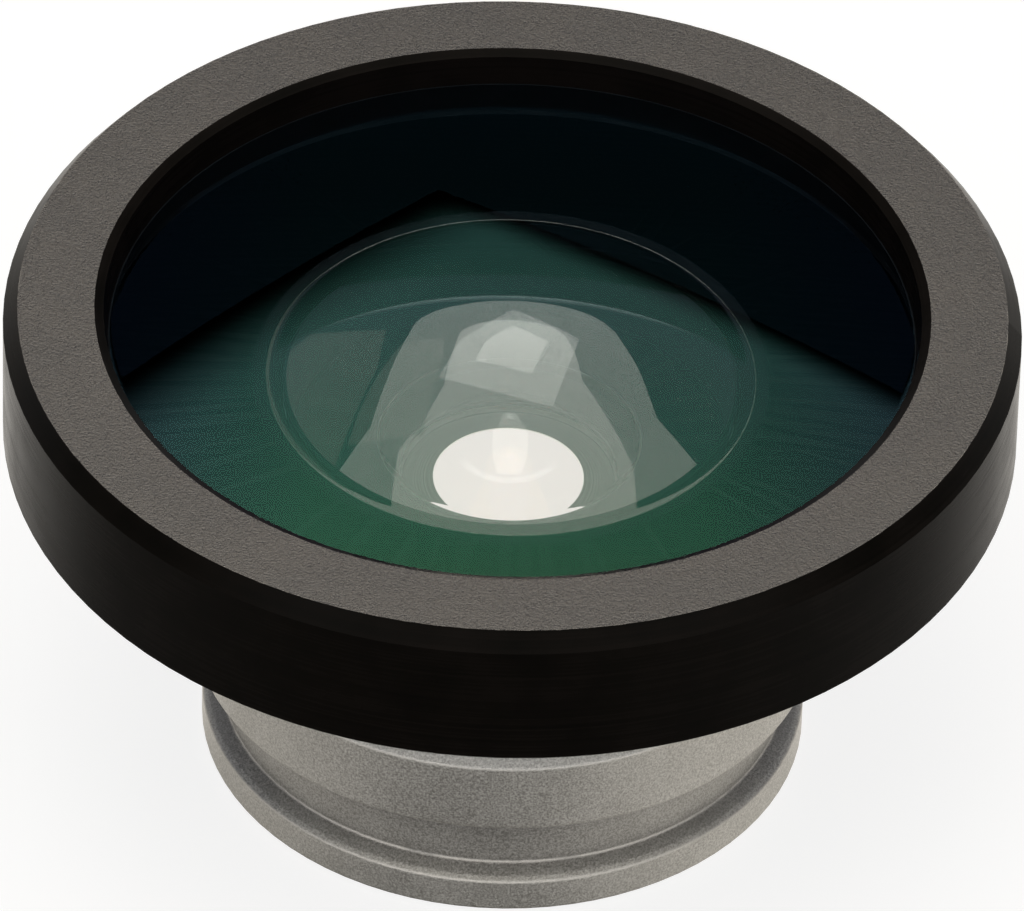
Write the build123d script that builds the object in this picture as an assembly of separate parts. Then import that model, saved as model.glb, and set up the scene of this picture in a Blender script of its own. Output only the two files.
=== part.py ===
from build123d import *
from math import radians, sqrt, tan
import os

# All sizes are in millimetres. The rear face that lies on the phone is Z = 0,
# and +Z runs along the optical axis towards the front glass.

# Overall sizes
overall_height = 11.5
bezel_radius = 11.0
bezel_height = 3.4

# Front ring
bezel_face_width = 1.97        # outer wall to the lip's bevel
bezel_chamfer_width = 0.31
bezel_chamfer_height = 0.40
lip_bevel_width = 0.20
lip_bevel_height = 0.10
lip_taper = 0.10
lip_depth = 0.77               # front face down to the glass
bezel_low_chamfer = 0.12

# Front glass
lens_under_lip = 0.37          # how far the lip reaches over the glass
lens_land_width = 0.40
lens_edge_thickness = 2.46
lens_front_curve = 150.0
lens_bowl_radius = 5.25
lens_centre_thickness = 2.10
lens_bevel = 0.10
lens_clearance = 0.05
shim_thickness = 0.15

# Housing of the wide-angle head
collar_wall = 0.75
collar_height = 1.33           # above the shim
collar_step = 0.80             # collar seen below the front ring
collar_chamfer = 0.15
cone_height = 1.70
seat_hole_clearance = 0.30     # bowl rim to the hole in the seat and in the shim
neck_shoulder = 0.80           # neck's outside beyond the thread's groove bottom
spigot_length = 1.12
spigot_wall = 0.99
spigot_lead_in = 0.12

# Inner glass in the neck and the ring under it
inner_overlap = 0.75           # how far the glass reaches beyond the spigot's bore
inner_clearance = 0.05
inner_gap = 0.02               # front glass's back to this glass's front face
inner_bevel = 0.10
inner_bowl_radius = 3.02
inner_bowl_depth = 1.38
inner_ring_thickness = 0.15
inner_ring_clearance = 0.18    # bowl rim to the ring's hole
ledge_height = 0.95            # spigot's lower end up to the ledge under the ring

# Screw joints
thread_margin = 1.05           # close-up glass to the groove bottom of the inside thread
thread_pitch = 0.50
ridge_height = 0.26
ridge_crest_width = 0.08
ridge_flank_angle = 30.0
ridge_sink = 0.06              # how far a ridge is sunk in its core
thread_clearance = 0.05
thread_relief = 0.15           # plain stretch at each end of a thread

# Washer between the two units
washer_thickness = 0.20
washer_clearance = 0.12
washer_width = 0.63

# Barrel of the close-up unit
groove_wall = 0.45             # around the magnet's recess, or the thread if that is wider
flange_proud = 0.42            # flange beyond the groove
band_proud = 0.64              # band beyond the groove
flange_height = 0.80
flange_chamfer_width = 0.12
flange_chamfer_height = 0.085
shelf_rise = 0.16
groove_top = 2.52
band_height = 1.71
band_bevel = 0.05
top_chamfer = 0.54
base_bevel = 0.06

# Close-up glass and what holds it
macro_radius = 4.45
macro_clearance = 0.05
macro_curve = 11.8
macro_edge_thickness = 1.00
macro_land_width = 0.35
macro_proud = 0.15             # edge of the glass above its bore
seat_thickness = 0.40
seat_overlap = 0.85
stop_thickness = 0.10
stop_radius = 2.60
retainer_height = 0.60
retainer_slot_width = 0.70
retainer_slot_depth = 0.30
retainer_clearance = 0.05

# Ring magnet
magnet_radius = 5.70
magnet_bore = 4.00
magnet_thickness = 1.45
magnet_recess = 0.05           # rear face of the magnet behind the flange
magnet_glue_gap = 0.05
magnet_bevel = 0.10

# Radii that follow from those above
lip_radius = bezel_radius - bezel_face_width - lip_bevel_width
lip_low_radius = lip_radius - lip_taper
lens_radius = lip_low_radius + lens_under_lip
pocket_radius = lens_radius + lens_clearance
collar_radius = pocket_radius + collar_wall
bezel_thread_radius = collar_radius + thread_clearance
macro_bore = macro_radius + macro_clearance
retainer_bore = macro_radius - macro_land_width + retainer_clearance
thread_radius = macro_radius + thread_margin
spigot_root = thread_radius - ridge_height - thread_clearance
spigot_bore = spigot_root - spigot_wall
inner_radius = spigot_bore + inner_overlap
inner_bore = inner_radius + inner_clearance
seat_hole_radius = max(lens_bowl_radius + seat_hole_clearance, inner_bore)
neck_radius = thread_radius + neck_shoulder
recess_radius = magnet_radius + magnet_glue_gap
groove_radius = max(thread_radius, recess_radius) + groove_wall
flange_radius = groove_radius + flange_proud
band_radius = groove_radius + band_proud

# Heights of the close-up unit, from the rear face up
magnet_floor = magnet_recess + magnet_thickness
macro_seat = magnet_floor + seat_thickness
macro_low = macro_seat + stop_thickness
macro_land = macro_low + macro_edge_thickness
thread_floor = macro_land - macro_proud
band_top = groove_top + band_height
barrel_top = band_top + top_chamfer
shoulder = barrel_top + washer_thickness
spigot_end = barrel_top - spigot_length

# Heights of the wide-angle head, from the front face down
bezel_bottom = overall_height - bezel_height
glass_land = overall_height - lip_depth
glass_back = glass_land - lens_edge_thickness
cup_floor = glass_back - shim_thickness
collar_top = glass_back + collar_height
collar_bottom = bezel_bottom - collar_step
cone_bottom = collar_bottom - cone_height
inner_ledge = spigot_end + ledge_height
inner_back = inner_ledge + inner_ring_thickness
inner_front = glass_back - inner_gap


def turned(*outline):
    """Solid of revolution about Z from an outline of (radius, height) points."""
    return revolve(make_face(Plane.XZ * Polyline(*outline, close=True)), Axis.Z)


def ring(inner, outer, low, high):
    """Plain ring between two radii and two heights."""
    return turned((inner, low), (outer, low), (outer, high), (inner, high))


def sag(curve, radius):
    """How far a spherical face falls from its middle out to a radius."""
    return curve - sqrt(curve * curve - radius * radius)


def ridge(core_radius, outward, low, high, half_turn):
    """Helical ridge that stands on a core, outward or inward, cut square at both heights."""
    way = 1 if outward else -1
    sink = core_radius - way * ridge_sink
    crest = core_radius + way * ridge_height
    half_crest = ridge_crest_width / 2
    half_root = half_crest + (ridge_height + ridge_sink) * tan(radians(ridge_flank_angle))
    start = shoulder - thread_pitch * (int((shoulder - low) / thread_pitch) + 2)
    if half_turn:
        start += thread_pitch / 2
    height = thread_pitch * (int((high - start) / thread_pitch) + 2)
    path = Helix(thread_pitch, height, sink, center=(0, 0, start))
    across = Plane(origin=(0, 0, start), x_dir=(1, 0, 0), z_dir=(0, -1, 0))
    section = make_face(across * Polyline(
        (sink, -half_root),
        (crest, -half_crest),
        (crest, half_crest),
        (sink, half_root),
        close=True,
    ))
    coil = sweep(section, path=path, is_frenet=True)
    near = min(sink, crest) - 0.1
    far = max(sink, crest) + 0.1
    return coil & ring(near, far, low, high)


def front_bezel():
    """Ring with a lip over the glass, and an inside thread for the housing's collar."""
    thread_top = collar_top + thread_relief
    body = turned(
        (bezel_thread_radius, bezel_bottom),
        (bezel_radius - bezel_low_chamfer, bezel_bottom),
        (bezel_radius, bezel_bottom + bezel_low_chamfer),
        (bezel_radius, overall_height - bezel_chamfer_height),
        (bezel_radius - bezel_chamfer_width, overall_height),
        (lip_radius + lip_bevel_width, overall_height),
        (lip_radius, overall_height - lip_bevel_height),
        (lip_low_radius, glass_land),
        (pocket_radius, glass_land),
        (pocket_radius, thread_top),
        (bezel_thread_radius, thread_top),
    )
    low = bezel_bottom + thread_relief
    return body + ridge(bezel_thread_radius, False, low, collar_top, True)


def front_lens():
    """Wide front glass: a weak dome in front, a shallow bowl behind, a flat rim for the lip."""
    dome_radius = lens_radius - lens_land_width
    apex = glass_land + sag(lens_front_curve, dome_radius)
    half = dome_radius / 2
    dome_mid = apex - sag(lens_front_curve, half)
    bowl_top = apex - lens_centre_thickness
    bowl_depth = bowl_top - glass_back
    bowl_curve = (lens_bowl_radius ** 2 + bowl_depth ** 2) / (2 * bowl_depth)
    bowl_half = lens_bowl_radius / 2
    bowl_mid = bowl_top - sag(bowl_curve, bowl_half)
    edges = [
        ThreePointArc((0, apex), (half, dome_mid), (dome_radius, glass_land)),
        Polyline(
            (dome_radius, glass_land),
            (lens_radius - lens_bevel, glass_land),
            (lens_radius, glass_land - lens_bevel),
            (lens_radius, glass_back + lens_bevel),
            (lens_radius - lens_bevel, glass_back),
            (lens_bowl_radius, glass_back),
        ),
        ThreePointArc((lens_bowl_radius, glass_back), (bowl_half, bowl_mid), (0, bowl_top)),
        Line((0, bowl_top), (0, apex)),
    ]
    return revolve(make_face(Plane.XZ * Curve(edges)), Axis.Z)


def lens_shim():
    """Thin ring that the front glass is clamped on."""
    return ring(seat_hole_radius, lens_radius - lens_bevel, cup_floor, glass_back)


def inner_lens():
    """Thick negative glass in the neck, flat in front, with a deep bowl behind."""
    bowl_top = inner_back + inner_bowl_depth
    bowl_curve = (inner_bowl_radius ** 2 + inner_bowl_depth ** 2) / (2 * inner_bowl_depth)
    bowl_half = inner_bowl_radius / 2
    bowl_mid = bowl_top - sag(bowl_curve, bowl_half)
    edges = [
        Polyline(
            (0, bowl_top),
            (0, inner_front),
            (inner_radius - inner_bevel, inner_front),
            (inner_radius, inner_front - inner_bevel),
            (inner_radius, inner_back + inner_bevel),
            (inner_radius - inner_bevel, inner_back),
            (inner_bowl_radius, inner_back),
        ),
        ThreePointArc((inner_bowl_radius, inner_back), (bowl_half, bowl_mid), (0, bowl_top)),
    ]
    return revolve(make_face(Plane.XZ * Curve(edges)), Axis.Z)


def inner_lens_ring():
    """Flat black ring that the inner glass stands on."""
    return ring(inner_bowl_radius + inner_ring_clearance, inner_radius, inner_ledge, inner_back)


def wide_housing():
    """Cup for the front glass, cone, neck and threaded spigot in one turned piece."""
    collar_root = collar_radius - ridge_height
    body = turned(
        (spigot_bore, spigot_end),
        (spigot_root - spigot_lead_in, spigot_end),
        (spigot_root, spigot_end + spigot_lead_in),
        (spigot_root, shoulder),
        (neck_radius - collar_chamfer, shoulder),
        (neck_radius, shoulder + collar_chamfer),
        (neck_radius, cone_bottom),
        (collar_radius - collar_chamfer, collar_bottom),
        (collar_radius, collar_bottom + collar_chamfer),
        (collar_radius, bezel_bottom),
        (collar_root, bezel_bottom + thread_relief),
        (collar_root, collar_top),
        (pocket_radius, collar_top),
        (pocket_radius, cup_floor),
        (seat_hole_radius, cup_floor),
        (inner_bore, cup_floor - seat_hole_clearance),
        (inner_bore, inner_ledge),
        (spigot_bore, inner_ledge),
    )
    low = spigot_end + thread_relief
    body += ridge(spigot_root, True, low, barrel_top - thread_relief, False)
    low = bezel_bottom + 2 * thread_relief
    return body + ridge(collar_root, True, low, collar_top - thread_relief / 2, False)


def thread_washer():
    """Thin washer on the barrel's top face, under the head's shoulder."""
    inner = thread_radius + washer_clearance
    return ring(inner, inner + washer_width, barrel_top, shoulder)


def macro_housing():
    """Silver barrel: flange, groove and band outside; magnet recess, seat and thread inside."""
    shelf_low = flange_height + flange_chamfer_height
    body = turned(
        (recess_radius, 0),
        (flange_radius - base_bevel, 0),
        (flange_radius, base_bevel),
        (flange_radius, flange_height),
        (flange_radius - flange_chamfer_width, shelf_low),
        (groove_radius, shelf_low + shelf_rise),
        (groove_radius, groove_top),
        (band_radius - band_bevel, groove_top),
        (band_radius, groove_top + band_bevel),
        (band_radius, band_top),
        (band_radius - top_chamfer, barrel_top),
        (thread_radius + washer_clearance / 2, barrel_top),
        (thread_radius, barrel_top - thread_relief),
        (thread_radius, thread_floor),
        (macro_bore, thread_floor),
        (macro_bore, macro_seat),
        (macro_bore - seat_overlap, macro_seat),
        (macro_bore - seat_overlap, magnet_floor),
        (recess_radius, magnet_floor),
    )
    low = thread_floor + thread_relief
    return body + ridge(thread_radius, False, low, barrel_top - thread_relief, True)


def macro_lens():
    """Small close-up glass, flat behind and domed in front, with a flat rim."""
    dome_radius = macro_radius - macro_land_width
    apex = macro_land + sag(macro_curve, dome_radius)
    half = dome_radius / 2
    edges = [
        ThreePointArc((0, apex), (half, apex - sag(macro_curve, half)), (dome_radius, macro_land)),
        Polyline(
            (dome_radius, macro_land),
            (macro_radius, macro_land),
            (macro_radius, macro_low),
            (0, macro_low),
            (0, apex),
        ),
    ]
    return revolve(make_face(Plane.XZ * Curve(edges)), Axis.Z)


def macro_stop():
    """Thin washer behind the close-up glass, whose hole is the light's way out."""
    return ring(stop_radius, macro_radius - macro_clearance, macro_seat, macro_low)


def macro_retaining_ring():
    """Threaded ring that clamps the close-up glass, with two spanner slots."""
    top = macro_land + retainer_height
    body = ring(retainer_bore, spigot_root, macro_land, top)
    low = macro_land + thread_relief / 2
    body += ridge(spigot_root, True, low, top - thread_relief / 2, False)
    slot = Pos(0, 0, top) * Box(4 * spigot_root, retainer_slot_width, 2 * retainer_slot_depth)
    return body - slot


def ring_magnet():
    """Ring magnet that holds the lens on its steel ring, just behind the flange's face."""
    low = magnet_recess
    high = magnet_floor
    return turned(
        (magnet_bore + magnet_bevel, low),
        (magnet_radius - magnet_bevel, low),
        (magnet_radius, low + magnet_bevel),
        (magnet_radius, high),
        (magnet_bore, high),
        (magnet_bore, low + magnet_bevel),
    )


pieces = {
    "front_bezel": front_bezel,
    "front_lens": front_lens,
    "lens_shim": lens_shim,
    "wide_housing": wide_housing,
    "inner_lens": inner_lens,
    "inner_lens_ring": inner_lens_ring,
    "thread_washer": thread_washer,
    "macro_housing": macro_housing,
    "macro_lens": macro_lens,
    "macro_stop": macro_stop,
    "macro_retaining_ring": macro_retaining_ring,
    "ring_magnet": ring_magnet,
}

os.makedirs("parts", exist_ok=True)
for name, make in pieces.items():
    piece = make()
    export_step(piece, f"parts/{name}.step")
    print(name, len(piece.solids()), round(piece.volume, 3))
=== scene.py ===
from math import cos, pi, radians, sin, sqrt

import bpy
from mathutils import Matrix, Vector


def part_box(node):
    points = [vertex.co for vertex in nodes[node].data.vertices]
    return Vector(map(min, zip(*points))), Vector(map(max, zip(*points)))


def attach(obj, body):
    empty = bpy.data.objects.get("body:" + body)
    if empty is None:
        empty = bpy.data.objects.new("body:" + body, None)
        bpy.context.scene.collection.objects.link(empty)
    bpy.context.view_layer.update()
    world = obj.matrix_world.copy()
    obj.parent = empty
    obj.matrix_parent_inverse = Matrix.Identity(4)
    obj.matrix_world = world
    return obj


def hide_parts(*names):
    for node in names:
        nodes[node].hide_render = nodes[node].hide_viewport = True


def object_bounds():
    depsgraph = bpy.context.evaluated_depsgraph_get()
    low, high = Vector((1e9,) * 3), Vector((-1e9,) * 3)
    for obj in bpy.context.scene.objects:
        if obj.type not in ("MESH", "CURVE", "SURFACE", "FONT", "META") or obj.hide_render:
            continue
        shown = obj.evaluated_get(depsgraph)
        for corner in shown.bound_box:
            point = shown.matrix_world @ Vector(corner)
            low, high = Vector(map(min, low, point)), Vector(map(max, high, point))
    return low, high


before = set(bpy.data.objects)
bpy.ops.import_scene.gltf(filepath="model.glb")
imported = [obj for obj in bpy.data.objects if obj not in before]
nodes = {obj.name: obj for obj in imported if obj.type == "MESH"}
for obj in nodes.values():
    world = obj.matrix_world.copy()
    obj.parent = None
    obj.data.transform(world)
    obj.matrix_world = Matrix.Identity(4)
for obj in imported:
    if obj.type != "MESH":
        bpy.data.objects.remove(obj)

mm = 0.001
cadLow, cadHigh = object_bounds()
print("frame loaded:", len(nodes), "nodes")


# Helpers

def hexColour(text):
    channels = [int(text[i:i + 2], 16) / 255 for i in (1, 3, 5)]
    linear = [c / 12.92 if c <= 0.04045 else ((c + 0.055) / 1.055) ** 2.4 for c in channels]
    return (*linear, 1.0)


def addNode(tree, kind, settings=None, links=None):
    # settings holds socket values, node properties and a ramp's stops; links holds socket: (node, its output)
    node = tree.nodes.new(kind)
    for name, value in (settings or {}).items():
        if name == "stops":
            for element, (position, text) in zip(node.color_ramp.elements, value):
                element.position = position
                element.color = hexColour(text)
        elif isinstance(name, str) and hasattr(node, name):
            setattr(node, name, value)
        else:
            node.inputs[name].default_value = value
    for name, (source, output) in (links or {}).items():
        tree.links.new(source.outputs[output], node.inputs[name])
    return node


def newMaterial(name):
    material = bpy.data.materials.new(name)
    material.use_nodes = True
    material.node_tree.nodes.clear()
    return material, material.node_tree


def giveMaterial(piece, *materials):
    piece.data.materials.clear()
    for material in materials:
        piece.data.materials.append(material)


def closeShader(tree, shader):
    addNode(tree, "ShaderNodeOutputMaterial", {}, {"Surface": (shader, 0)})


# Materials: the metals

blackAnodised = {
    "colour": ("#080706", "#3b342b"),        # grey bloom of the blasted face, dark and light grains
    "beadMm": 0.045,                         # dents of the bead blast
    "blotchMm": 1.6,                         # slow change of the dye
    "ior": 1.65,                             # the oxide layer that holds the dye
    "sheenTint": (1.0, 0.955, 0.915, 1.0),   # its mirroring is a little warm
    "roughness": (0.20, 0.34),
    "specular": 1.0,
    "denting": 1.7,
    "wearAndHighlightColour": "#a39d95",                 # bare metal that shows at the handled edges
    "edgeLineMm": 0.035,
    "patchMm": 0.5,                          # length of the worn stretches
    "edgeLineGaps": (0.47, 0.62),                # noise values between which the line breaks off
}


edges = {"samples": 6, "turned": (0.995, 0.93)}   # likeness of the two normals where the edge line is absent and where it is full


def edgeWearAndHighlight(tree, place, a):
    # 1 on edges rubbed bare, and on the silver also a painted highlight along edges and inner corners, broken
    # up by a noise so that the line comes and goes
    rounded = addNode(tree, "ShaderNodeBevel", {"samples": edges["samples"], "Radius": a["edgeLineMm"] * mm})
    flat = addNode(tree, "ShaderNodeNewGeometry")
    likeness = addNode(tree, "ShaderNodeVectorMath", {"operation": "DOT_PRODUCT"},
                       {0: (rounded, "Normal"), 1: (flat, "Normal")})
    patches = addNode(tree, "ShaderNodeTexNoise", {"Scale": 1 / (a["patchMm"] * mm), "Detail": 3.0},
                      {"Vector": (place, "Object")})
    flush, full = edges["turned"]
    turned = addNode(tree, "ShaderNodeMapRange", {"From Min": flush, "From Max": full},
                     {"Value": (likeness, "Value")})
    low, high = a["edgeLineGaps"]
    broken = addNode(tree, "ShaderNodeMapRange", {"From Min": low, "From Max": high},
                     {"Value": (patches, "Fac")})
    return addNode(tree, "ShaderNodeMath", {"operation": "MULTIPLY"}, {0: (turned, 0), 1: (broken, 0)})


def makeBlackBlasted():
    # bead-blasted black anodised aluminium: a dull warm grey face with fine sparkle
    a = blackAnodised
    material, tree = newMaterial("blackAnodisedBlastedAluminium")
    place = addNode(tree, "ShaderNodeTexCoord")
    beads = addNode(tree, "ShaderNodeTexNoise",
                    {"Scale": 1 / (a["beadMm"] * mm), "Detail": 2.0, "Roughness": 0.6},
                    {"Vector": (place, "Object")})
    blotches = addNode(tree, "ShaderNodeTexNoise", {"Scale": 1 / (a["blotchMm"] * mm), "Detail": 3.0},
                       {"Vector": (place, "Object")})
    both = addNode(tree, "ShaderNodeMix", {"data_type": "FLOAT", "Factor": 0.3},
                   {"A": (beads, "Fac"), "B": (blotches, "Fac")})
    dye = addNode(tree, "ShaderNodeValToRGB", {"stops": zip((0.36, 0.64), a["colour"])},
                  {"Fac": (both, "Result")})
    wearAndHighlight = edgeWearAndHighlight(tree, place, a)
    colour = addNode(tree, "ShaderNodeMix", {"data_type": "RGBA", "B": hexColour(a["wearAndHighlightColour"])},
                     {"Factor": (wearAndHighlight, 0), "A": (dye, "Color")})
    smooth, dull = a["roughness"]
    rough = addNode(tree, "ShaderNodeMapRange",
                    {"From Min": 0.35, "From Max": 0.65, "To Min": smooth, "To Max": dull},
                    {"Value": (beads, "Fac")})
    dents = addNode(tree, "ShaderNodeBump", {"Strength": a["denting"], "Distance": 0.008 * mm},
                    {"Height": (beads, "Fac")})
    shader = addNode(tree, "ShaderNodeBsdfPrincipled", {"Specular IOR Level": a["specular"], "IOR": a["ior"],
                                                         "Specular Tint": a["sheenTint"]},
                     {"Base Color": (colour, "Result"), "Roughness": (rough, "Result"),
                      "Normal": (dents, "Normal")})
    closeShader(tree, shader)
    return material


blackTurned = {
    "colour": ("#0d0c0a", "#151210"),        # deep dye where the wall was left as turned
    "toolMm": 0.06,                          # feed of the turning tool
    "blotchMm": 1.2,
    "roughness": (0.20, 0.32),
    "specular": 0.02,
    "denting": 0.15,
}


def makeBlackTurned():
    # black anodising over a finely turned wall: nearly black, with a soft mirror at grazing angles
    a = blackTurned
    material, tree = newMaterial("blackAnodisedTurnedAluminium")
    place = addNode(tree, "ShaderNodeTexCoord")
    stretch = addNode(tree, "ShaderNodeMapping", {"Scale": (60, 60, 1 / (a["toolMm"] * mm))},
                      {"Vector": (place, "Object")})
    lines = addNode(tree, "ShaderNodeTexNoise", {"Scale": 1.0, "Detail": 2.0}, {"Vector": (stretch, 0)})
    blotches = addNode(tree, "ShaderNodeTexNoise", {"Scale": 1 / (a["blotchMm"] * mm), "Detail": 3.0},
                       {"Vector": (place, "Object")})
    both = addNode(tree, "ShaderNodeMix", {"data_type": "FLOAT", "Factor": 0.5},
                   {"A": (lines, "Fac"), "B": (blotches, "Fac")})
    colour = addNode(tree, "ShaderNodeValToRGB", {"stops": zip((0.35, 0.65), a["colour"])},
                     {"Fac": (both, "Result")})
    smooth, dull = a["roughness"]
    rough = addNode(tree, "ShaderNodeMapRange",
                    {"From Min": 0.35, "From Max": 0.65, "To Min": smooth, "To Max": dull},
                    {"Value": (both, "Result")})
    feed = addNode(tree, "ShaderNodeBump", {"Strength": a["denting"], "Distance": 0.004 * mm},
                   {"Height": (lines, "Fac")})
    shader = addNode(tree, "ShaderNodeBsdfPrincipled", {"Specular IOR Level": a["specular"]},
                     {"Base Color": (colour, "Color"), "Roughness": (rough, "Result"),
                      "Normal": (feed, "Normal")})
    closeShader(tree, shader)
    return material


silverAnodised = {
    "colour": ("#a4a29d", "#cfcdc8"),        # clear anodised, slightly warm
    "beadMm": 0.045,
    "blotchMm": 1.2,
    "roughness": (0.46, 0.60),
    "denting": 0.8,
    "wearAndHighlightColour": "#c0bcb6",                 # edges burnished bright, and a painted highlight along the edge lines and inner corners
    "edgeLineMm": 0.10,
    "patchMm": 0.8,
    "edgeLineGaps": (0.28, 0.46),
    "paintedShadeMm": 1.3,                         # how near another face has to be for the painted shade to darken the skin
    "paintedShadeOpenness": 0.50,                      # openness at which the painted shade is darkest
    "paintedShadeDepth": 0.85,
}


def makeSilverAnodised():
    # bead-blasted clear anodised aluminium: pale metal whose highlights are spread wide by fine dents
    a = silverAnodised
    material, tree = newMaterial("silverAnodisedAluminium")
    place = addNode(tree, "ShaderNodeTexCoord")
    beads = addNode(tree, "ShaderNodeTexNoise",
                    {"Scale": 1 / (a["beadMm"] * mm), "Detail": 2.0, "Roughness": 0.6},
                    {"Vector": (place, "Object")})
    blotches = addNode(tree, "ShaderNodeTexNoise", {"Scale": 1 / (a["blotchMm"] * mm), "Detail": 3.0},
                       {"Vector": (place, "Object")})
    both = addNode(tree, "ShaderNodeMix", {"data_type": "FLOAT", "Factor": 0.12},
                   {"A": (beads, "Fac"), "B": (blotches, "Fac")})
    skin = addNode(tree, "ShaderNodeValToRGB", {"stops": zip((0.36, 0.64), a["colour"])},
                   {"Fac": (both, "Result")})
    # painted shade: ambient occlusion darkens the skin colour where faces of the same part stand close, as in
    # the groove and the other recesses
    nearby = addNode(tree, "ShaderNodeAmbientOcclusion", {"samples": 8, "only_local": True,
                                                          "Distance": a["paintedShadeMm"] * mm})
    paintedShade = addNode(tree, "ShaderNodeMapRange",
                     {"From Min": a["paintedShadeOpenness"], "To Min": 1 - a["paintedShadeDepth"]},
                     {"Value": (nearby, "AO")})
    skinWithPaintedShade = addNode(tree, "ShaderNodeVectorMath", {"operation": "SCALE"},
                     {0: (skin, "Color"), "Scale": (paintedShade, 0)})
    # painted highlight, partly wear: the edge mask lays a pale colour, free of the painted shade, on outer
    # edges and inner corners alike
    wearAndHighlight = edgeWearAndHighlight(tree, place, a)
    colour = addNode(tree, "ShaderNodeMix", {"data_type": "RGBA", "B": hexColour(a["wearAndHighlightColour"])},
                     {"Factor": (wearAndHighlight, 0), "A": (skinWithPaintedShade, 0)})
    smooth, dull = a["roughness"]
    rough = addNode(tree, "ShaderNodeMapRange",
                    {"From Min": 0.35, "From Max": 0.65, "To Min": smooth, "To Max": dull},
                    {"Value": (both, "Result")})
    soft = addNode(tree, "ShaderNodeBevel", {"samples": edges["samples"], "Radius": a["edgeLineMm"] * mm})
    dents = addNode(tree, "ShaderNodeBump", {"Strength": a["denting"], "Distance": 0.008 * mm},
                    {"Height": (beads, "Fac"), "Normal": (soft, "Normal")})
    shader = addNode(tree, "ShaderNodeBsdfPrincipled", {"Metallic": 1.0},
                     {"Base Color": (colour, "Result"), "Roughness": (rough, "Result"),
                      "Normal": (dents, "Normal")})
    closeShader(tree, shader)
    return material


bareTurned = {"colour": ("#a9a79f", "#cfcdc5"), "toolMm": 0.05, "roughness": (0.30, 0.45)}


def makeBareTurned():
    # uncoated turned aluminium: bright metal with fine rings left by the tool
    a = bareTurned
    material, tree = newMaterial("bareTurnedAluminium")
    place = addNode(tree, "ShaderNodeTexCoord")
    parts = addNode(tree, "ShaderNodeSeparateXYZ", {}, {"Vector": (place, "Object")})
    flat = addNode(tree, "ShaderNodeCombineXYZ", {}, {"X": (parts, "X"), "Y": (parts, "Y")})
    away = addNode(tree, "ShaderNodeVectorMath", {"operation": "LENGTH"}, {0: (flat, 0)})
    across = addNode(tree, "ShaderNodeMath", {"operation": "ADD"}, {0: (away, "Value"), 1: (parts, "Z")})
    rings = addNode(tree, "ShaderNodeTexNoise", {"noise_dimensions": "1D", "Scale": 1 / (a["toolMm"] * mm)},
                    {"W": (across, 0)})
    colour = addNode(tree, "ShaderNodeValToRGB", {"stops": zip((0.35, 0.65), a["colour"])},
                     {"Fac": (rings, "Fac")})
    rough = addNode(tree, "ShaderNodeMapRange", {"To Min": a["roughness"][0], "To Max": a["roughness"][1]},
                    {"Value": (rings, "Fac")})
    shader = addNode(tree, "ShaderNodeBsdfPrincipled", {"Metallic": 1.0},
                     {"Base Color": (colour, "Color"), "Roughness": (rough, "Result")})
    closeShader(tree, shader)
    return material


nickelPlate = {"colour": ("#a8a397", "#bdb8ab"), "roughness": (0.16, 0.34), "brushMm": 0.25}


def makeNickelPlate():
    # barrel-plated nickel: warm bright metal with soft tumbling marks
    p = nickelPlate
    material, tree = newMaterial("platedNickel")
    place = addNode(tree, "ShaderNodeTexCoord")
    marks = addNode(tree, "ShaderNodeTexNoise", {"Scale": 1 / (p["brushMm"] * mm), "Detail": 4.0},
                    {"Vector": (place, "Object")})
    colour = addNode(tree, "ShaderNodeValToRGB", {"stops": zip((0.3, 0.7), p["colour"])},
                     {"Fac": (marks, "Fac")})
    rough = addNode(tree, "ShaderNodeMapRange", {"To Min": p["roughness"][0], "To Max": p["roughness"][1]},
                    {"Value": (marks, "Fac")})
    shader = addNode(tree, "ShaderNodeBsdfPrincipled", {"Metallic": 1.0},
                     {"Base Color": (colour, "Color"), "Roughness": (rough, "Result")})
    closeShader(tree, shader)
    return material


# Materials: plastics and glass

mattBlack = {
    "colour": ("#0b0b0b", "#161514"),
    "grainMm": 0.12,
    "roughness": 0.8,
    "denting": 0.5,
    "specular": 0.3,
}
blackNylon = {
    "colour": ("#141416", "#202023"),
    "grainMm": 0.2,
    "roughness": 0.5,
    "denting": 0.2,
    "specular": 0.3,
}


def makePlastic(name, p):
    # fine moulded grain that keeps the surface dull
    material, tree = newMaterial(name)
    place = addNode(tree, "ShaderNodeTexCoord")
    grain = addNode(tree, "ShaderNodeTexNoise", {"Scale": 1 / (p["grainMm"] * mm), "Detail": 3.0},
                    {"Vector": (place, "Object")})
    colour = addNode(tree, "ShaderNodeValToRGB", {"stops": zip((0.3, 0.7), p["colour"])},
                     {"Fac": (grain, "Fac")})
    dents = addNode(tree, "ShaderNodeBump", {"Strength": p["denting"], "Distance": 0.02 * mm},
                    {"Height": (grain, "Fac")})
    shader = addNode(tree, "ShaderNodeBsdfPrincipled",
                     {"Roughness": p["roughness"], "Specular IOR Level": p["specular"]},
                     {"Base Color": (colour, "Color"), "Normal": (dents, "Normal")})
    closeShader(tree, shader)
    return material


glass = {
    "ior": 1.52,
    "filmIor": 1.32,                         # many thin layers on the front face, stood in for by one
    "filmNm": 472.0,                         # mirrors green at the photograph's angle, teal and purple beyond
    "closeUpFilmNm": 110.0,
    "paintedReflectionTint": ("#e4e2ff", "#ffa0a8"),      # painted reflection: strength and colour of what the film mirrors, set by place from the front to the back of the face
    "paintedReflectionSpanMm": (-7.0, 5.0),
    "paintedReflectionSide": "#ffc4ff",                   # painted reflection: less green, so bluer, towards the left and right edges
    "paintedReflectionSideMm": (4.2, 8.8),
}


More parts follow.
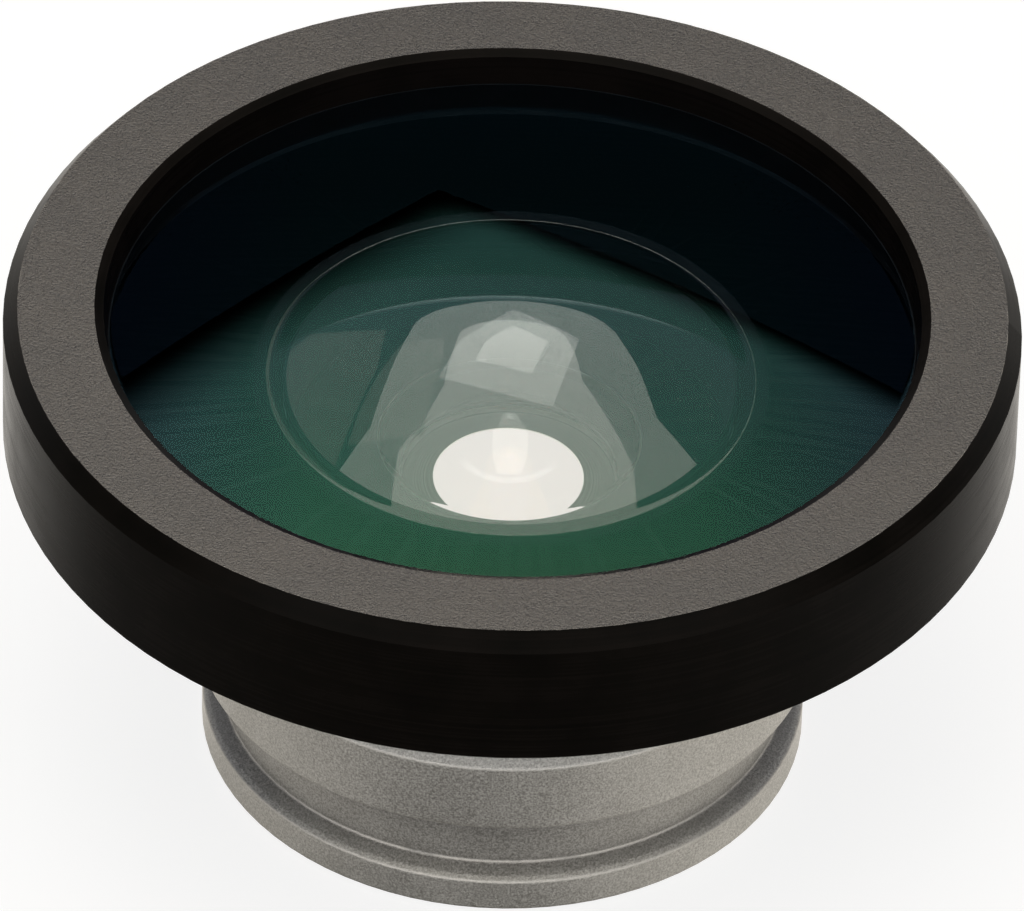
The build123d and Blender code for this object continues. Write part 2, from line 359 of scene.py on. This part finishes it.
def makeGlass(name, filmNm, paintedReflection):
    # polished crown glass; a thin film on it takes the red and most of the blue out of what it mirrors; where
    # asked, its reflection is also tinted by place on the face, a painted reflection
    g = glass
    material, tree = newMaterial(name)
    shader = addNode(tree, "ShaderNodeBsdfPrincipled", {
        "Base Color": (1, 1, 1, 1), "Transmission Weight": 1.0, "IOR": g["ior"], "Roughness": 0.0,
        "Thin Film IOR": g["filmIor"], "Thin Film Thickness": filmNm})
    # painted reflection: the Specular Tint follows the place on the face, from front to back and towards the
    # sides, not the light
    if paintedReflection:
        place = addNode(tree, "ShaderNodeTexCoord")
        parts = addNode(tree, "ShaderNodeSeparateXYZ", {}, {"Vector": (place, "Object")})
        low, high = g["paintedReflectionSpanMm"]
        along = addNode(tree, "ShaderNodeMapRange", {"From Min": low * mm, "From Max": high * mm},
                        {"Value": (parts, "Y")})
        paintedTint = addNode(tree, "ShaderNodeValToRGB", {"stops": zip((0.0, 1.0), g["paintedReflectionTint"])},
                       {"Fac": (along, 0)})
        aside = addNode(tree, "ShaderNodeMath", {"operation": "ABSOLUTE"}, {0: (parts, "X")})
        low, high = g["paintedReflectionSideMm"]
        outward = addNode(tree, "ShaderNodeMapRange", {"From Min": low * mm, "From Max": high * mm},
                          {"Value": (aside, 0)})
        paintedBluerSides = addNode(tree, "ShaderNodeMix", {"data_type": "RGBA", "blend_type": "MULTIPLY",
                                                "B": hexColour(g["paintedReflectionSide"])},
                        {"Factor": (outward, 0), "A": (paintedTint, "Color")})
        tree.links.new(paintedBluerSides.outputs["Result"], shader.inputs["Specular Tint"])
    closeShader(tree, shader)
    return material


# pale green frosted colour: a ground bevel that carries a painted glint on the lens rims
groundBevelGlint = {"colour": ("#3c463e", "#6f7a70"), "frostMm": 0.2, "roughness": 0.6}
edgeLacquer = {"colour": ("#0a0f14", "#0e141a"), "brushMm": 0.6, "roughness": 0.7, "specular": 0.1}


def makeGroundGlint():
    # hairline bevel left ground on a polished edge: a thin frosted line, its pale green colour a painted
    # glint along the lens rim
    b = groundBevelGlint
    material, tree = newMaterial("groundGlassBevelGlint")
    place = addNode(tree, "ShaderNodeTexCoord")
    frost = addNode(tree, "ShaderNodeTexNoise", {"Scale": 1 / (b["frostMm"] * mm), "Detail": 3.0},
                    {"Vector": (place, "Object")})
    colour = addNode(tree, "ShaderNodeValToRGB", {"stops": zip((0.35, 0.65), b["colour"])},
                     {"Fac": (frost, "Fac")})
    shader = addNode(tree, "ShaderNodeBsdfPrincipled", {"Roughness": b["roughness"]},
                     {"Base Color": (colour, "Color")})
    closeShader(tree, shader)
    return material


def makeLacquer():
    # matt black edge lacquer, painted on the ground rim so that it throws no light back
    e = edgeLacquer
    material, tree = newMaterial("blackEdgeLacquer")
    place = addNode(tree, "ShaderNodeTexCoord")
    brush = addNode(tree, "ShaderNodeTexNoise", {"Scale": 1 / (e["brushMm"] * mm), "Detail": 2.0},
                    {"Vector": (place, "Object")})
    colour = addNode(tree, "ShaderNodeValToRGB", {"stops": zip((0.3, 0.7), e["colour"])},
                     {"Fac": (brush, "Fac")})
    shader = addNode(tree, "ShaderNodeBsdfPrincipled", {"Roughness": e["roughness"],
                                                        "Specular IOR Level": e["specular"]},
                     {"Base Color": (colour, "Color")})
    closeShader(tree, shader)
    return material


# Lenses, turned as closed meshes fine enough to bend light truly

def turnedMesh(name, outline, steps, slots, finishes):
    # outline runs from the axis to the axis as (radius, height); slots gives each stretch its material
    points = []
    faces = []
    faceSlots = []
    rings = []
    for radius, height in outline:
        if radius < 1e-9:
            rings.append([len(points)])
            points.append((0, 0, height))
            continue
        rings.append(list(range(len(points), len(points) + steps)))
        for step in range(steps):
            angle = 2 * pi * step / steps
            points.append((radius * cos(angle), radius * sin(angle), height))
    for index in range(len(outline) - 1):
        here, there = rings[index], rings[index + 1]
        for step in range(steps):
            after = (step + 1) % steps
            if len(here) == 1:
                face = (here[0], there[step], there[after])
            elif len(there) == 1:
                face = (here[step], there[0], here[after])
            else:
                face = (here[step], there[step], there[after], here[after])
            faces.append(face)
            faceSlots.append(slots[index])
    mesh = bpy.data.meshes.new(name)
    mesh.from_pydata(points, [], faces)
    for finish in finishes:
        mesh.materials.append(finish)
    mesh.polygons.foreach_set("material_index", faceSlots)
    mesh.update()
    piece = bpy.data.objects.new(name, mesh)
    bpy.context.scene.collection.objects.link(piece)
    return piece


def arcPoints(curve, rimRadius, rimHeight, count, hollow):
    # spherical face from the rim to the axis; hollow faces rise to the axis above a bowl
    sagAtRim = curve - sqrt(curve ** 2 - rimRadius ** 2)
    points = []
    for step in range(count + 1):
        radius = rimRadius * (1 - step / count)
        sag = curve - sqrt(curve ** 2 - radius ** 2)
        points.append((radius, rimHeight + sagAtRim - sag))
    return points if not hollow else points[::-1]


frontLens = {
    "domeCurve": 150 * mm,
    "landWidth": 0.40 * mm,
    "bowlRadius": 5.25 * mm,
    "centreThickness": 2.10 * mm,
    "bevel": 0.10 * mm,
    "hairline": 0.014 * mm,
    "steps": 256,
    "arcSteps": 64,
}


def makeFrontLens(coated, lacquer, bare, groundGlint):
    f = frontLens
    low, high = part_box("front_lens")
    back, apex, rim = low.z, high.z, high.x
    domeRadius = rim - f["landWidth"]
    land = apex - (f["domeCurve"] - sqrt(f["domeCurve"] ** 2 - domeRadius ** 2))
    bowlTop = apex - f["centreThickness"]
    depth = bowlTop - back
    bowlCurve = (f["bowlRadius"] ** 2 + depth ** 2) / (2 * depth)
    dome = arcPoints(f["domeCurve"], domeRadius, land, f["arcSteps"], True)
    bowl = arcPoints(bowlCurve, f["bowlRadius"], back, f["arcSteps"], False)
    rimLine = [
        (rim - f["bevel"], land),
        (rim, land - f["bevel"]),
        (rim, back + f["bevel"]),
        (rim - f["bevel"], back),
        (f["bowlRadius"] + f["hairline"], back),
    ]
    bowl[0] = (f["bowlRadius"] - f["hairline"] * 0.2, back + f["hairline"])
    outline = dome + rimLine + bowl
    slots = [0] * f["arcSteps"] + [1] * 5 + [3] + [2] * f["arcSteps"]
    piece = turnedMesh("frontLens", outline, f["steps"], slots, (coated, lacquer, bare, groundGlint))
    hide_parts("front_lens")
    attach(piece, "wide_head")
    return piece


innerLens = {
    "bowlRadius": 3.02 * mm,
    "bowlDepth": 1.38 * mm,
    "bevel": 0.10 * mm,
    "hairline": 0.035 * mm,
    "steps": 256,
    "arcSteps": 56,
}


def makeInnerLens(clear, lacquer, groundGlint):
    # flat clear face in front, a deep bowl behind; the rim is lacquered black
    n = innerLens
    low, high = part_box("inner_lens")
    back, front, rim = low.z, high.z, high.x
    bowlTop = back + n["bowlDepth"]
    bowlCurve = (n["bowlRadius"] ** 2 + n["bowlDepth"] ** 2) / (2 * n["bowlDepth"])
    edge = [
        (rim - n["bevel"], front),
        (rim, front - n["bevel"]),
        (rim, back + n["bevel"]),
        (rim - n["bevel"], back),
        (n["bowlRadius"] + n["hairline"], back),
    ]
    bowl = arcPoints(bowlCurve, n["bowlRadius"], back, n["arcSteps"], False)
    bowl[0] = (n["bowlRadius"] - n["hairline"] * 0.2, back + n["hairline"])
    outline = [(0, front)] + edge + bowl
    slots = [0, 1, 1, 1, 1, 2] + [0] * n["arcSteps"]
    piece = turnedMesh("innerLens", outline, n["steps"], slots, (clear, lacquer, groundGlint))
    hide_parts("inner_lens")
    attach(piece, "wide_head")
    return piece


closeUpLens = {
    "domeCurve": 11.8 * mm,
    "landWidth": 0.35 * mm,
    "steps": 192,
    "arcSteps": 40,
}


def makeCloseUpLens(glass, lacquer):
    c = closeUpLens
    low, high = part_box("macro_lens")
    back, apex, rim = low.z, high.z, high.x
    domeRadius = rim - c["landWidth"]
    land = apex - (c["domeCurve"] - sqrt(c["domeCurve"] ** 2 - domeRadius ** 2))
    dome = arcPoints(c["domeCurve"], domeRadius, land, c["arcSteps"], True)
    flat = [(rim * part, back) for part in (1, 0.75, 0.5, 0.25, 0)]
    outline = dome + [(rim, land)] + flat
    slots = [0] * c["arcSteps"] + [1, 1] + [0] * 4
    piece = turnedMesh("closeUpLens", outline, c["steps"], slots, (glass, lacquer))
    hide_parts("macro_lens")
    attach(piece, "close_up_unit")
    return piece


def smoothByAngle(piece, limit):
    # facets narrower than the limit shade as one round surface
    bpy.context.view_layer.objects.active = piece
    for other in bpy.context.selected_objects:
        other.select_set(False)
    piece.select_set(True)
    bpy.ops.object.shade_smooth_by_angle(angle=radians(limit))
    piece.select_set(False)


def splitFaces(node, upper, rest):
    # one finish on the flat faces that look forward, another on the rest
    giveMaterial(node, upper, rest)
    turn = node.matrix_world.to_3x3()
    for face in node.data.polygons:
        face.material_index = 0 if (turn @ face.normal).normalized().z > 0.97 else 1


blackBlasted = makeBlackBlasted()
blackWall = makeBlackTurned()
silver = makeSilverAnodised()
bare = makeBareTurned()
nickel = makeNickelPlate()
matt = makePlastic("mattBlackPlastic", mattBlack)
nylon = makePlastic("blackNylonSheet", blackNylon)
lacquer = makeLacquer()
groundGlint = makeGroundGlint()
coatedGlass = makeGlass("greenCoatedGlass", glass["filmNm"], True)
clearGlass = makeGlass("polishedGlass", 0, False)
closeUpGlass = makeGlass("closeUpCoatedGlass", glass["closeUpFilmNm"], False)
print("materials made")

finishes = {
    "wide_housing": blackWall,
    "macro_retaining_ring": bare,
    "macro_housing": silver,
    "ring_magnet": nickel,
    "inner_lens_ring": matt,
    "macro_stop": bare,
    "lens_shim": nylon,
    "thread_washer": nylon,
}
for nodeName, finish in finishes.items():
    giveMaterial(nodes[nodeName], finish)
splitFaces(nodes["front_bezel"], blackBlasted, blackWall)
lenses = (
    makeFrontLens(coatedGlass, lacquer, clearGlass, groundGlint),
    makeInnerLens(clearGlass, lacquer, groundGlint),
    makeCloseUpLens(closeUpGlass, lacquer),
)
for lens in lenses:
    smoothByAngle(lens, 20)
print("lenses turned and finishes given")


# Studio: floor, overhead panel, world and camera

studio = {
    "floorSize": 3.0,
    "floorColour": "#f2f0ec",
    "floorGlow": (0.20, 0.60, 0.80, 1.22),   # what mirrors see of it: in front, left, right, behind
    "floorLeft": (-0.3, -1.0),               # between these sideways cosines the left glow comes in
    "floorRight": (0.0, 0.95),
    "floorBehind": (-0.3, 0.2),
    "floorWarmth": (1.0, 0.955, 0.885, 1.0),
    "floorThrough": (0.72, 0.66, 0.63, 1.0),   # and what is seen of it through the lens
    "floorShown": 0.80,                      # and what the camera sees: an even glow and a thin shadow
    "floorShadow": 0.3,
    "panelHeight": 261 * mm,
    "panelOutline": ((-10, 358), (-275, -150), (-275, -300), (416, -300), (416, -150)),
    "panelCorner": (-6, 347),                # where its two far edges cross
    "panelEdges": ((0.8865, -0.4628, 16), (-0.7664, -0.6423, 8)),   # inward way and softness of each
    "panelStrength": 2.42,
    "panelWarmth": (1.0, 0.96, 0.88, 1.0),
    "panelFar": (190, 352, 0.74),            # from here on, to here, the light falls to this share
    "panelRight": (-50, 110, 0.44),
    "panelLeft": (-20, -150, 0.66),
    "panelNear": (-60, -200, 1.2),           # brighter towards the camera
    "innerHeight": 258 * mm,                 # a second panel that only the inner surfaces mirror
    "innerOutline": ((-62, 440), (-60, 345), (-57, 240), (-64, 190), (-82, 130), (-82, -300), (92, -300),
                     (92, 120), (77, 190), (63, 262), (65, 345), (64, 440)),
    "innerEnd": (63, 440, 137, 24),          # half-width, start, length and steps of its rounded far end
    "innerStrength": 2.0,
    "lampHeight": 256 * mm,                  # and a brighter patch near its far end
    "lampOutline": ((0, 515), (-29, 390), (-34, 308), (18, 268), (39, 405)),
    "lampStrength": 3.8,
    "sideOutline": ((-65, 150), (-67, 330), (-78, 430), (-128, 430), (-128, 150)),
    "sideStrength": 0.55,                    # dimmer wall beside it
    "worldColour": "#454d5d",
    "rearWall": ("#5a5d69", 0.20, 0.66, 0.1),   # dim wall behind: sines of its foot and head, softness
    "rearWallSides": (0.1, 0.4),
    "worldBand": (0.20, 0.14),               # sines of height at which the pale backdrop fades out
    "frontBand": (0.62, 0.50),               # and the same on the camera's side
    "frontSides": (-0.25, -0.6),
    "frontGlow": 2.1,
}


def makeFloor():
    bpy.ops.mesh.primitive_grid_add(x_subdivisions=8, y_subdivisions=8, size=studio["floorSize"],
                                    location=(0, 0, 0))
    floor = bpy.context.object
    floor.name = "studioFloor"
    material, tree = newMaterial("whitePaper")
    paint = addNode(tree, "ShaderNodeBsdfDiffuse", {"Color": hexColour(studio["floorColour"])})
    place = addNode(tree, "ShaderNodeTexCoord")
    aim = addNode(tree, "ShaderNodeVectorMath", {"operation": "NORMALIZE"}, {0: (place, "Object")})
    parts = addNode(tree, "ShaderNodeSeparateXYZ", {}, {"Vector": (aim, 0)})
    front, left, right, back = studio["floorGlow"]
    glows = []
    for axis, (start, end), gain in (
            ("X", studio["floorLeft"], left - front),
            ("X", studio["floorRight"], right - front),
            ("Y", studio["floorBehind"], 1.0)):
        glows.append(addNode(tree, "ShaderNodeMapRange",
                             {"interpolation_type": "SMOOTHSTEP", "From Min": start, "From Max": end,
                              "To Min": 0.0, "To Max": gain},
                             {"Value": (parts, axis)}))
    toLeft, toRight, behind = glows
    sides = addNode(tree, "ShaderNodeMath", {"operation": "ADD"}, {0: (toLeft, 0), 1: (toRight, 0)})
    seen = addNode(tree, "ShaderNodeMath", {"operation": "ADD", 1: front}, {0: (sides, 0)})
    brightest = addNode(tree, "ShaderNodeMix", {"data_type": "FLOAT", "B": back},
                        {"Factor": (behind, 0), "A": (seen, 0)})
    mirrored = addNode(tree, "ShaderNodeEmission", {"Color": studio["floorWarmth"]},
                       {"Strength": (brightest, "Result")})
    shown = addNode(tree, "ShaderNodeEmission", {"Color": (1, 1, 1, 1), "Strength": studio["floorShown"]})
    thin = addNode(tree, "ShaderNodeBsdfDiffuse", {"Color": (*[studio["floorShadow"]] * 3, 1)})
    camera = addNode(tree, "ShaderNodeAddShader", {}, {0: (shown, 0), 1: (thin, 0)})
    through = addNode(tree, "ShaderNodeEmission", {"Color": studio["floorThrough"], "Strength": 1.0})
    path = addNode(tree, "ShaderNodeLightPath")
    shader = paint
    for ray, look in (
            ("Is Glossy Ray", mirrored),
            ("Is Transmission Ray", through),
            ("Is Camera Ray", camera)):
        shader = addNode(tree, "ShaderNodeMixShader", {}, {"Fac": (path, ray), 1: (shader, 0), 2: (look, 0)})
    closeShader(tree, shader)
    giveMaterial(floor, material)


def share(tree, place, axis, start, end, level):
    # smooth change from 1 to the given level along one axis, in mm
    parts = addNode(tree, "ShaderNodeSeparateXYZ", {}, {"Vector": (place, "Object")})
    return addNode(tree, "ShaderNodeMapRange", {"interpolation_type": "SMOOTHSTEP", "From Min": start * mm,
                                                "From Max": end * mm, "To Min": 1.0, "To Max": level},
                   {"Value": (parts, axis)})


def makeSheet(name, outline, height, strength, material, factors):
    # flat glowing cloth; the factors scale its light from place to place
    tree = material.node_tree
    corners = [(x * mm, y * mm, height) for x, y in outline]
    mesh = bpy.data.meshes.new(name)
    mesh.from_pydata(corners, [], [tuple(range(len(corners)))])
    sheet = bpy.data.objects.new(name, mesh)
    bpy.context.scene.collection.objects.link(sheet)
    power = addNode(tree, "ShaderNodeValue")
    power.outputs[0].default_value = strength
    for factor in factors:
        power = addNode(tree, "ShaderNodeMath", {"operation": "MULTIPLY"}, {0: (power, 0), 1: (factor, 0)})
    glow = addNode(tree, "ShaderNodeEmission", {"Color": studio["panelWarmth"]}, {"Strength": (power, 0)})
    closeShader(tree, glow)
    giveMaterial(sheet, material)
    sheet.visible_camera = False
    return sheet


def makePanel():
    # large overhead light; its far corner is what the front glass mirrors
    material, tree = newMaterial("lightPanel")
    place = addNode(tree, "ShaderNodeTexCoord")
    factors = [share(tree, place, axis, *studio[side]) for axis, side in (
        ("Y", "panelFar"), ("Y", "panelNear"), ("X", "panelRight"), ("X", "panelLeft"))]
    cornerX, cornerY = studio["panelCorner"]
    corner = (cornerX * mm, cornerY * mm, studio["panelHeight"])
    inward = addNode(tree, "ShaderNodeVectorMath", {"operation": "SUBTRACT", 1: corner},
                     {0: (place, "Object")})
    for wayX, wayY, soft in studio["panelEdges"]:
        inside = addNode(tree, "ShaderNodeVectorMath", {"operation": "DOT_PRODUCT", 1: (wayX, wayY, 0)},
                         {0: (inward, 0)})
        factors.append(addNode(tree, "ShaderNodeMapRange",
                               {"interpolation_type": "SMOOTHSTEP", "From Min": -soft / 2 * mm,
                                "From Max": soft / 2 * mm},
                               {"Value": (inside, "Value")}))
    panel = makeSheet("overheadPanel", studio["panelOutline"], studio["panelHeight"], studio["panelStrength"],
                      material, factors)
    panel.visible_transmission = False


def makeInnerLights():
    # the same light, its lamp and a wall as the surfaces inside the lens mirror them
    half, start, reach, steps = studio["innerEnd"]
    turns = [pi * step / steps for step in range(1, steps)]
    farEnd = [(half * cos(turn), start + reach * sin(turn)) for turn in turns]
    for name, outline, height, strength in (
            ("innerPanel", (*studio["innerOutline"], *farEnd), "innerHeight", "innerStrength"),
            ("innerSide", studio["sideOutline"], "innerHeight", "sideStrength"),
            ("innerLamp", studio["lampOutline"], "lampHeight", "lampStrength")):
        material = newMaterial(name)[0]
        sheet = makeSheet(name, outline, studio[height], studio[strength], material, [])
        sheet.visible_glossy = False
        sheet.visible_diffuse = False


def makeWorld():
    world = bpy.data.worlds.new("studioWorld")
    bpy.context.scene.world = world
    world.use_nodes = True
    tree = world.node_tree
    tree.nodes.clear()
    place = addNode(tree, "ShaderNodeTexCoord")
    parts = addNode(tree, "ShaderNodeSeparateXYZ", {}, {"Vector": (place, "Generated")})
    ramps = []
    for axis, name in (("Z", "worldBand"), ("Z", "frontBand"), ("Y", "frontSides"), ("Y", "rearWallSides")):
        start, end = studio[name]
        ramps.append(addNode(tree, "ShaderNodeMapRange", {"From Min": start, "From Max": end},
                             {"Value": (parts, axis)}))
    low, high, ahead, behind = ramps
    wall = addNode(tree, "ShaderNodeMath", {"operation": "MULTIPLY"}, {0: (high, 0), 1: (ahead, 0)})
    pale = addNode(tree, "ShaderNodeMath", {"operation": "MAXIMUM"}, {0: (low, 0), 1: (wall, 0)})
    path = addNode(tree, "ShaderNodeLightPath")
    mirror = addNode(tree, "ShaderNodeMath", {"operation": "MAXIMUM"},
                     {0: (path, "Is Glossy Ray"), 1: (path, "Is Transmission Ray")})
    band = addNode(tree, "ShaderNodeMath", {"operation": "MULTIPLY"}, {0: (pale, 0), 1: (mirror, 0)})
    mask = addNode(tree, "ShaderNodeMath", {"operation": "MAXIMUM"},
                   {0: (path, "Is Camera Ray"), 1: (band, 0)})
    wallColour, foot, head, soft = studio["rearWall"]
    above = addNode(tree, "ShaderNodeMapRange",
                    {"interpolation_type": "SMOOTHSTEP", "From Min": foot - soft, "From Max": foot + soft},
                    {"Value": (parts, "Z")})
    below = addNode(tree, "ShaderNodeMapRange",
                    {"interpolation_type": "SMOOTHSTEP", "From Min": head + soft, "From Max": head - soft},
                    {"Value": (parts, "Z")})
    height = addNode(tree, "ShaderNodeMath", {"operation": "MULTIPLY"}, {0: (above, 0), 1: (below, 0)})
    there = addNode(tree, "ShaderNodeMath", {"operation": "MULTIPLY"}, {0: (height, 0), 1: (behind, 0)})
    room = addNode(tree, "ShaderNodeMix", {"data_type": "RGBA", "A": hexColour(studio["worldColour"]),
                                           "B": hexColour(wallColour)}, {"Factor": (there, 0)})
    dark = addNode(tree, "ShaderNodeBackground", {"Strength": 1.0}, {"Color": (room, "Result")})
    lit = addNode(tree, "ShaderNodeMath", {"operation": "MULTIPLY"}, {0: (wall, 0), 1: (mirror, 0)})
    power = addNode(tree, "ShaderNodeMath", {"operation": "MULTIPLY_ADD", 1: studio["frontGlow"] - 1, 2: 1.0},
                    {0: (lit, 0)})
    white = addNode(tree, "ShaderNodeBackground", {"Color": (1, 1, 1, 1)}, {"Strength": (power, 0)})
    mixed = addNode(tree, "ShaderNodeMixShader", {}, {"Fac": (mask, 0), 1: (dark, 0), 2: (white, 0)})
    addNode(tree, "ShaderNodeOutputWorld", {}, {"Surface": (mixed, 0)})


cameraView = {
    "elevation": 39.92,
    "distance": 322.4 * mm,
    "lens": 525.5,
    "aside": 0.066 * mm,                     # camera moved along its own right and up
    "above": -3.183 * mm,
    "roll": 1.572,
}


def makeCamera():
    c = cameraView
    tilt = radians(c["elevation"])
    forward = Vector((0, cos(tilt), -sin(tilt)))
    up = Vector((0, sin(tilt), cos(tilt)))
    right = Vector((1, 0, 0))
    target = Vector((0, 0, cadHigh.z))
    turn = radians(c["roll"])
    turnedRight = cos(turn) * right + sin(turn) * up
    turnedUp = -sin(turn) * right + cos(turn) * up
    axes = Matrix((turnedRight, turnedUp, -forward)).transposed()
    data = bpy.data.cameras.new("photoCamera")
    data.lens = c["lens"]
    data.sensor_width = 36
    data.sensor_fit = "HORIZONTAL"
    data.clip_start = 0.01
    data.clip_end = 5
    camera = bpy.data.objects.new("photoCamera", data)
    bpy.context.scene.collection.objects.link(camera)
    camera.matrix_world = Matrix.Translation(
        target - forward * c["distance"] + right * c["aside"] + up * c["above"]) @ axes.to_4x4()
    bpy.context.scene.camera = camera


makeFloor()
makePanel()
makeInnerLights()
makeWorld()
makeCamera()
bpy.context.scene.view_settings.view_transform = "Standard"
print("studio set")
